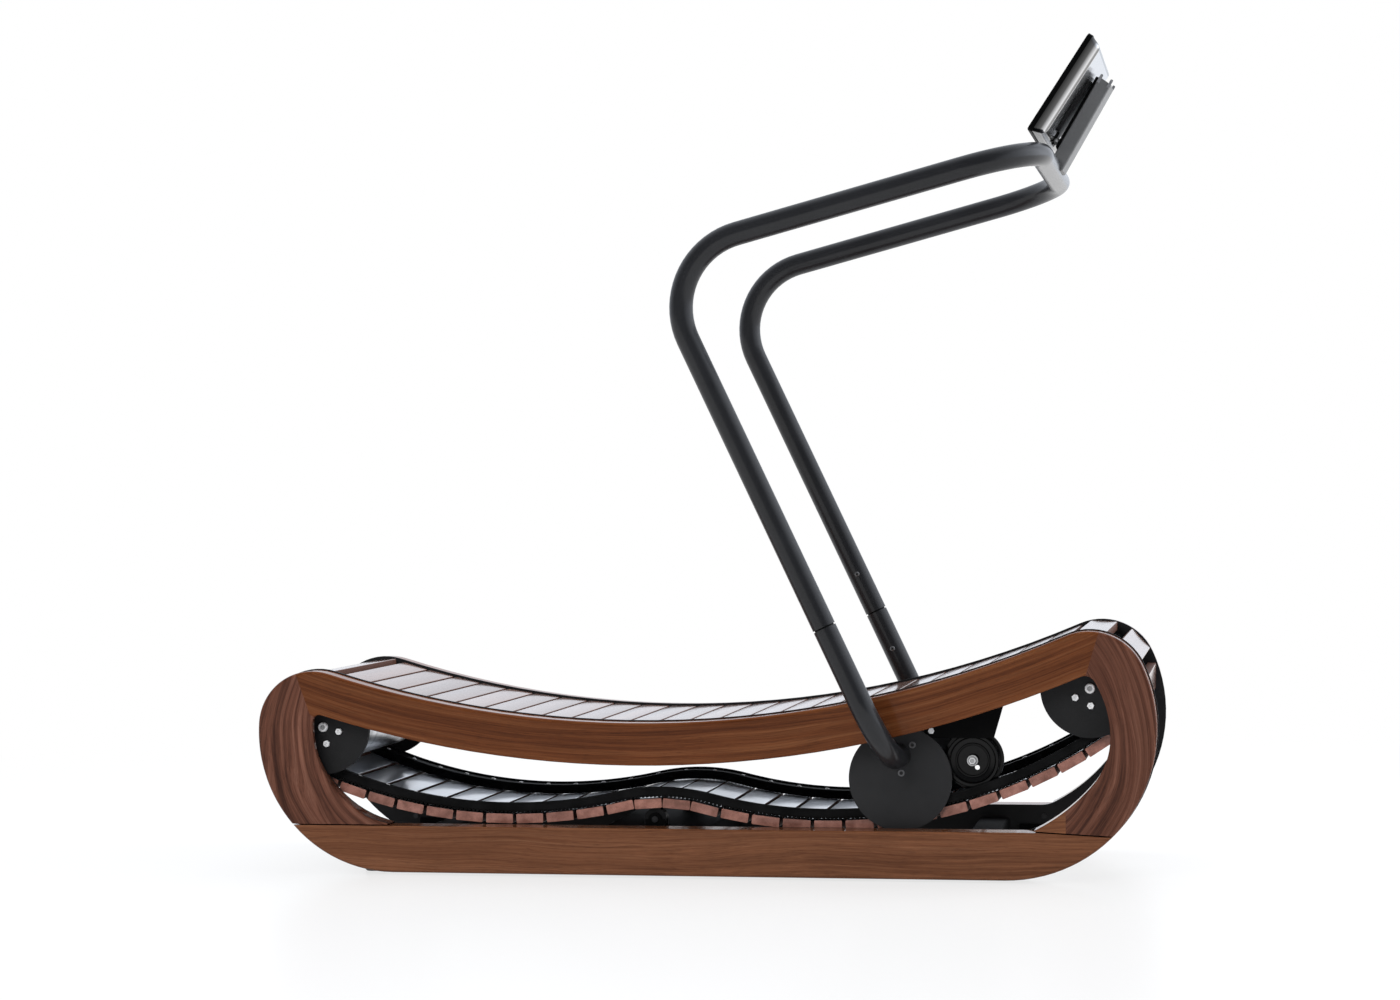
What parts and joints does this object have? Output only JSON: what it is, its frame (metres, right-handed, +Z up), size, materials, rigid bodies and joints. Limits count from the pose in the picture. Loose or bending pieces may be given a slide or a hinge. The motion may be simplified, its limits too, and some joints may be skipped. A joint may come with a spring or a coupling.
{
  "type": "curved manual treadmill",
  "caption": "Motorless curved treadmill: hardwood slats on toothed belts between walnut side rings over steel plates, with a bent tube handrail and a tilting screen.",
  "frame": {"origin": "on the floor under the middle of the machine", "axes": "+X the way the runner faces, towards the screen; +Z up; +Y to the runner's left"},
  "size_m": [1.728, 0.799, 1.5794],
  "materials": {
    "walnut": "oiled walnut, satin",
    "ash_wood": "matt lacquered hardwood",
    "black_steel": "fine black powder coat",
    "black_tube": "black powder coat, semi-gloss",
    "zinc_steel": "bright zinc",
    "bright_steel": "bright",
    "bearing_steel": "ground",
    "drum_aluminium": "turned",
    "belt_rubber": "matt",
    "foot_rubber": "matt",
    "black_plastic": "satin",
    "grey_plastic": "satin",
    "screen_glass": "dark, switched off"
  },
  "bodies": {
    "machine": {"right_top_rail": "walnut", "right_rear_cap": "walnut", "right_front_cap": "walnut", "right_front_toe": "walnut", "right_runner": "walnut", "left_top_rail": "walnut", "left_rear_cap": "walnut", "left_front_cap": "walnut", "left_front_toe": "walnut", "left_runner": "walnut", "right_side_plate": "black_steel", "left_side_plate": "black_steel", "rear_axle_plates": "black_steel", "front_axle_plates": "black_steel", "handrail_foot_plates": "black_steel", "rear_cross_member": "black_steel", "centre_cross_member": "black_steel", "front_cross_member": "black_steel", "return_roller_brackets": "black_steel", "foot_brackets": "black_steel", "pressure_wheel_bracket": "black_steel", "right_handrail_post": "black_tube", "left_handrail_post": "black_tube", "handrail_loop": "black_tube", "handrail_spigots": "zinc_steel", "rear_axle": "zinc_steel", "front_axle": "zinc_steel", "track_bearing_studs": "zinc_steel", "return_roller_pins": "zinc_steel", "screen_hinge_pin": "zinc_steel", "wood_screws": "bright_steel", "axle_bolts": "bright_steel", "pressure_wheel_bolt": "bright_steel", "handrail_screws": "bright_steel", "right_tread_belt": "belt_rubber", "left_tread_belt": "belt_rubber", "tread_slats": "ash_wood", "screen_arm_liner": "black_plastic", "levelling_feet": "foot_rubber", "screen_arm": "grey_plastic"},
    "rear_drum_body": {"rear_drum": "drum_aluminium", "rear_drum_bearings": "bearing_steel"},
    "front_drum_body": {"front_drum": "drum_aluminium", "front_drum_bearings": "bearing_steel"},
    "return_roller_body": {"return_rollers": "black_plastic"},
    "pressure_wheel_body": {"pressure_wheel": "black_plastic"},
    "screen_body": {"screen_mount": "black_plastic", "screen_housing": "grey_plastic", "screen_bezel": "black_plastic", "screen_glass": "screen_glass"},
    "track_bearing_01_body": {"track_bearing_01": "bearing_steel"},
    "track_bearing_02_body": {"track_bearing_02": "bearing_steel"},
    "track_bearing_03_body": {"track_bearing_03": "bearing_steel"},
    "track_bearing_04_body": {"track_bearing_04": "bearing_steel"},
    "track_bearing_05_body": {"track_bearing_05": "bearing_steel"},
    "track_bearing_06_body": {"track_bearing_06": "bearing_steel"},
    "track_bearing_07_body": {"track_bearing_07": "bearing_steel"},
    "track_bearing_08_body": {"track_bearing_08": "bearing_steel"},
    "track_bearing_09_body": {"track_bearing_09": "bearing_steel"},
    "track_bearing_10_body": {"track_bearing_10": "bearing_steel"}
  },
  "joints": [
    {"name": "rear_drum_spin", "type": "hinge", "parent": "machine", "child": "rear_drum_body", "pos_m": [-0.744, 0, 0.28068], "axis": [0, 1, 0], "continuous": true},
    {"name": "front_drum_spin", "type": "hinge", "parent": "machine", "child": "front_drum_body", "pos_m": [0.73851, 0, 0.35877], "axis": [0, 1, 0], "continuous": true},
    {"name": "return_roller_spin", "type": "hinge", "parent": "machine", "child": "return_roller_body", "pos_m": [-0.092, 0, 0.10498], "axis": [0, 1, 0], "continuous": true},
    {"name": "pressure_wheel_spin", "type": "hinge", "parent": "machine", "child": "pressure_wheel_body", "pos_m": [0.5165, 0, 0.22085], "axis": [0, 1, 0], "continuous": true},
    {"name": "track_bearing_01_spin", "type": "hinge", "parent": "machine", "child": "track_bearing_01_body", "pos_m": [-0.60787, 0, 0.29807], "axis": [0, 1, 0], "continuous": true},
    {"name": "track_bearing_02_spin", "type": "hinge", "parent": "machine", "child": "track_bearing_02_body", "pos_m": [-0.47686, 0, 0.27072], "axis": [0, 1, 0], "continuous": true},
    {"name": "track_bearing_03_spin", "type": "hinge", "parent": "machine", "child": "track_bearing_03_body", "pos_m": [-0.34438, 0, 0.25171], "axis": [0, 1, 0], "continuous": true},
    {"name": "track_bearing_04_spin", "type": "hinge", "parent": "machine", "child": "track_bearing_04_body", "pos_m": [-0.21097, 0, 0.24111], "axis": [0, 1, 0], "continuous": true},
    {"name": "track_bearing_05_spin", "type": "hinge", "parent": "machine", "child": "track_bearing_05_body", "pos_m": [-0.07715, 0, 0.23896], "axis": [0, 1, 0], "continuous": true},
    {"name": "track_bearing_06_spin", "type": "hinge", "parent": "machine", "child": "track_bearing_06_body", "pos_m": [0.05653, 0, 0.24526], "axis": [0, 1, 0], "continuous": true},
    {"name": "track_bearing_07_spin", "type": "hinge", "parent": "machine", "child": "track_bearing_07_body", "pos_m": [0.18955, 0, 0.26], "axis": [0, 1, 0], "continuous": true},
    {"name": "track_bearing_08_spin", "type": "hinge", "parent": "machine", "child": "track_bearing_08_body", "pos_m": [0.32137, 0, 0.28311], "axis": [0, 1, 0], "continuous": true},
    {"name": "track_bearing_09_spin", "type": "hinge", "parent": "machine", "child": "track_bearing_09_body", "pos_m": [0.45147, 0, 0.3145], "axis": [0, 1, 0], "continuous": true},
    {"name": "track_bearing_10_spin", "type": "hinge", "parent": "machine", "child": "track_bearing_10_body", "pos_m": [0.57932, 0, 0.35405], "axis": [0, 1, 0], "continuous": true},
    {"name": "screen_tilt", "type": "hinge", "parent": "machine", "child": "screen_body", "pos_m": [0.67425, 0, 1.39907], "axis": [0, -1, 0], "range_deg": [0, 15]}
  ],
  "couplings": [
    {"joint": "front_drum_spin", "follows": "rear_drum_spin", "ratio": 1},
    {"joint": "return_roller_spin", "follows": "rear_drum_spin", "ratio": -3.2419},
    {"joint": "pressure_wheel_spin", "follows": "rear_drum_spin", "ratio": 1.394},
    {"joint": "track_bearing_01_spin", "follows": "rear_drum_spin", "ratio": 4.1},
    {"joint": "track_bearing_02_spin", "follows": "rear_drum_spin", "ratio": 4.1},
    {"joint": "track_bearing_03_spin", "follows": "rear_drum_spin", "ratio": 4.1},
    {"joint": "track_bearing_04_spin", "follows": "rear_drum_spin", "ratio": 4.1},
    {"joint": "track_bearing_05_spin", "follows": "rear_drum_spin", "ratio": 4.1},
    {"joint": "track_bearing_06_spin", "follows": "rear_drum_spin", "ratio": 4.1},
    {"joint": "track_bearing_07_spin", "follows": "rear_drum_spin", "ratio": 4.1},
    {"joint": "track_bearing_08_spin", "follows": "rear_drum_spin", "ratio": 4.1},
    {"joint": "track_bearing_09_spin", "follows": "rear_drum_spin", "ratio": 4.1},
    {"joint": "track_bearing_10_spin", "follows": "rear_drum_spin", "ratio": 4.1}
  ]
}
